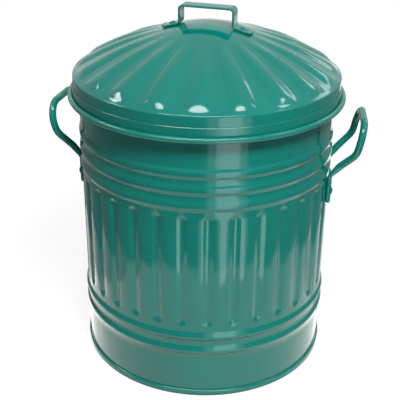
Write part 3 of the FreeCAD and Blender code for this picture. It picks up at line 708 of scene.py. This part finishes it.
body_skin(sheet_paint)
base_skin(sheet_paint)
crown_skin(sheet_paint)
hoop_skin(hoop_paint)
strap_skin(rod_paint)
bow_handles(rod_paint)
strap_rivets(rod_paint)
for wire_node in ("body_rim_wire", "lid_rim_wire"):
    carry_over(wire_node, wire)


# ---------------------------------------------------------------- background and floor, in m
WORLD_LIGHT = 0.04
PAPER_GREY, PAPER_ROUGHNESS = (0.6, 0.6, 0.6, 1), 0.9
FLOOR_REACH = 6
BLEND_FROM, BLEND_TO = 0.5, 2.0


def seen_directly(tree):
    """One where the camera or a glossy or clear surface sees the background, else zero."""
    rays = tree.nodes.new("ShaderNodeLightPath")
    seen = rays.outputs["Is Camera Ray"]
    for name in ("Is Glossy Ray", "Is Transmission Ray"):
        seen = combined(tree, "MAXIMUM", seen, rays.outputs[name])
    return seen


def white_background():
    """White where it is seen, and hardly any light on the object."""
    world = bpy.data.worlds.new("studio")
    bpy.context.scene.world = world
    world.use_nodes = True
    tree = world.node_tree
    background = tree.nodes["Background"]
    strength = map_range(tree, seen_directly(tree), (WORLD_LIGHT, 1.0))
    tree.links.new(strength, background.inputs["Strength"])
    background.inputs["Color"].default_value = WHITE


def paper_floor():
    """Paper that keeps the object's shadow near it and turns plain white further out."""
    material, tree = new_material("floor_paper")
    paper = tree.nodes["Principled BSDF"]
    paper.inputs["Base Color"].default_value = PAPER_GREY
    paper.inputs["Roughness"].default_value = PAPER_ROUGHNESS
    from_middle = tree.nodes.new("ShaderNodeVectorMath")
    from_middle.operation = "LENGTH"
    place = tree.nodes.new("ShaderNodeTexCoord").outputs["Object"]
    tree.links.new(place, from_middle.inputs[0])

    def by_distance(near, far):
        """A value that goes from near to far with the distance from the object."""
        return map_range(tree, from_middle.outputs["Value"], (near, far), (BLEND_FROM, BLEND_TO))

    white = tree.nodes.new("ShaderNodeEmission")
    tree.links.new(by_distance(1.25, 1.0), white.inputs["Strength"])
    share = combined(tree, "MULTIPLY", by_distance(0.7, 1.0), seen_directly(tree))
    blend = tree.nodes.new("ShaderNodeMixShader")
    tree.links.new(share, blend.inputs["Fac"])
    tree.links.new(paper.outputs["BSDF"], blend.inputs[1])
    tree.links.new(white.outputs["Emission"], blend.inputs[2])
    tree.links.new(blend.outputs["Shader"], tree.nodes["Material Output"].inputs["Surface"])

    corners = [(x * FLOOR_REACH, y * FLOOR_REACH, 0)
               for x, y in ((-1, -1), (1, -1), (1, 1), (-1, 1))]
    mesh = bpy.data.meshes.new("floor")
    mesh.from_pydata(corners, [], [(0, 1, 2, 3)])
    mesh.materials.append(material)
    floor = add_object("floor", mesh)


# ---------------------------------------------------------------- light, in m
CAMERA_TURN = math.radians(9.65)
WARM = (1.0, 0.95, 0.88)
COOL = (0.92, 0.97, 1.0)


def panel(name, place, aim, size, brightness, colour=(1, 1, 1)):
    """Area light of a given brightness, placed in the frame of the camera's azimuth."""
    data = bpy.data.lights.new(name, "AREA")
    data.shape = "RECTANGLE"
    data.size, data.size_y = size
    data.energy = brightness * math.pi * size[0] * size[1]
    data.color = colour
    lamp = add_object(name, data)
    turn = Matrix.Rotation(CAMERA_TURN, 3, "Z")
    place, aim = turn @ Vector(place), turn @ Vector(aim)
    lamp.location = place
    lamp.rotation_euler = (aim - place).to_track_quat("-Z", "Y").to_euler()
    lamp.visible_camera = False
    return lamp


def soft_light(*settings):
    """A softbox that lights the object without showing as a hard shape in the paint."""
    panel(*settings).visible_glossy = False


def window(*settings):
    """A bright shape that shows mirrored in the paint and adds no light of its own."""
    panel(*settings).visible_diffuse = False


def surroundings(radius, height, shade):
    """Low grey ring that glows and that only reflections show: a painted reflection that stands in
    for the room round the floor and darkens the paint low down and at the sides.
    """
    material, tree = new_material("painted_reflection_glow")
    # the glow is the grey of the painted reflection, not a lamp
    glow = tree.nodes.new("ShaderNodeEmission")
    glow.inputs["Strength"].default_value = shade
    tree.links.new(glow.outputs["Emission"], tree.nodes["Material Output"].inputs["Surface"])
    verts = [(radius * math.cos(turn), radius * math.sin(turn), level)
             for level in (0.001, height)
             for turn in [math.tau * k / RING_STEPS for k in range(RING_STEPS)]]
    nexts = [(k + 1) % RING_STEPS for k in range(RING_STEPS)]
    faces = [(k, after, RING_STEPS + after, RING_STEPS + k) for k, after in enumerate(nexts)]
    mesh = bpy.data.meshes.new("surroundings")
    mesh.from_pydata(verts, [], faces)
    mesh.materials.append(material)
    ring = add_object("surroundings", mesh)
    ring.visible_camera = ring.visible_diffuse = ring.visible_shadow = False
    ring.visible_transmission = False


white_background()
paper_floor()
soft_light("key", (0.45, -1.35, 2.15), (0, 0, 0.3), (0.6, 0.6), 43)
soft_light("fill", (-0.7, 2.0, 1.3), (0, 0, 0.2), (0.7, 0.7), 14)
window("front_window", (-0.1, -0.85, 2.2), (0, 0, 0.42), (1.9, 0.6), 24, COOL)
window("left_window", (-1.4, 0.2, 1.69), (0, 0, 0.42), (0.6, 0.3), 22, COOL)
window("right_window", (1.2, 0.0, 1.89), (0, 0, 0.42), (0.35, 0.3), 16, COOL)
window("side_window", (1.17, 0.98, 1.37), (0, 0, 0.42), (0.5, 0.4), 5, COOL)
window("doorway", (0.12, -0.43, 0.17), (0, 0, 0.17), (0.23, 0.34), 1.8, COOL)
window("doorway_light", (0.12, -0.42, 0.17), (0, 0, 0.17), (0.12, 0.34), 3.6, COOL)
window("side_doorway", (0.25, 0.36, 0.19), (0, 0, 0.19), (0.2, 0.34), 1.2, COOL)
window("lit_floor", (0.03, -0.25, 0.003), (0.03, -0.25, 1), (0.78, 0.6), 1.25, WARM)
# glowing grey ring seen only in reflections: a painted reflection of a dim room round the object
surroundings(0.47, 0.36, 0.35)


# ---------------------------------------------------------------- camera, in m and radians
AIM = Vector((0, 0, 0.3622))
DISTANCE, PITCH = 1.125, 0.3344
PAN, TILT, ROLL = -0.0062, -0.1259, 0.0126
FOCAL_PIXELS, PICTURE_PIXELS, SENSOR_WIDTH = 853.57, 400, 36


def camera_pose():
    """Stands off AIM by DISTANCE, PITCH above it, then panned, tilted and rolled a little."""
    back = Vector((0, -math.cos(PITCH), math.sin(PITCH)))
    right = Vector((1, 0, 0))
    up = back.cross(right)
    panned = right * math.cos(PAN) + back * math.sin(PAN)
    deep = right * math.sin(PAN) - back * math.cos(PAN)
    tilted = up * math.cos(TILT) - deep * math.sin(TILT)
    ahead = up * math.sin(TILT) + deep * math.cos(TILT)
    view_x = panned * math.cos(ROLL) + tilted * math.sin(ROLL)
    view_y = tilted * math.cos(ROLL) - panned * math.sin(ROLL)
    pose = Matrix((view_x, view_y, -ahead)).transposed().to_4x4()
    pose.translation = AIM + back * DISTANCE
    return Matrix.Rotation(CAMERA_TURN, 4, "Z") @ pose


lens = bpy.data.cameras.new("camera")
lens.sensor_width = SENSOR_WIDTH
lens.lens = FOCAL_PIXELS / PICTURE_PIXELS * SENSOR_WIDTH
lens.clip_start = 0.01
camera = add_object("camera", lens)
camera.matrix_world = camera_pose()
bpy.context.scene.camera = camera
bpy.context.scene.view_settings.view_transform = "Standard"
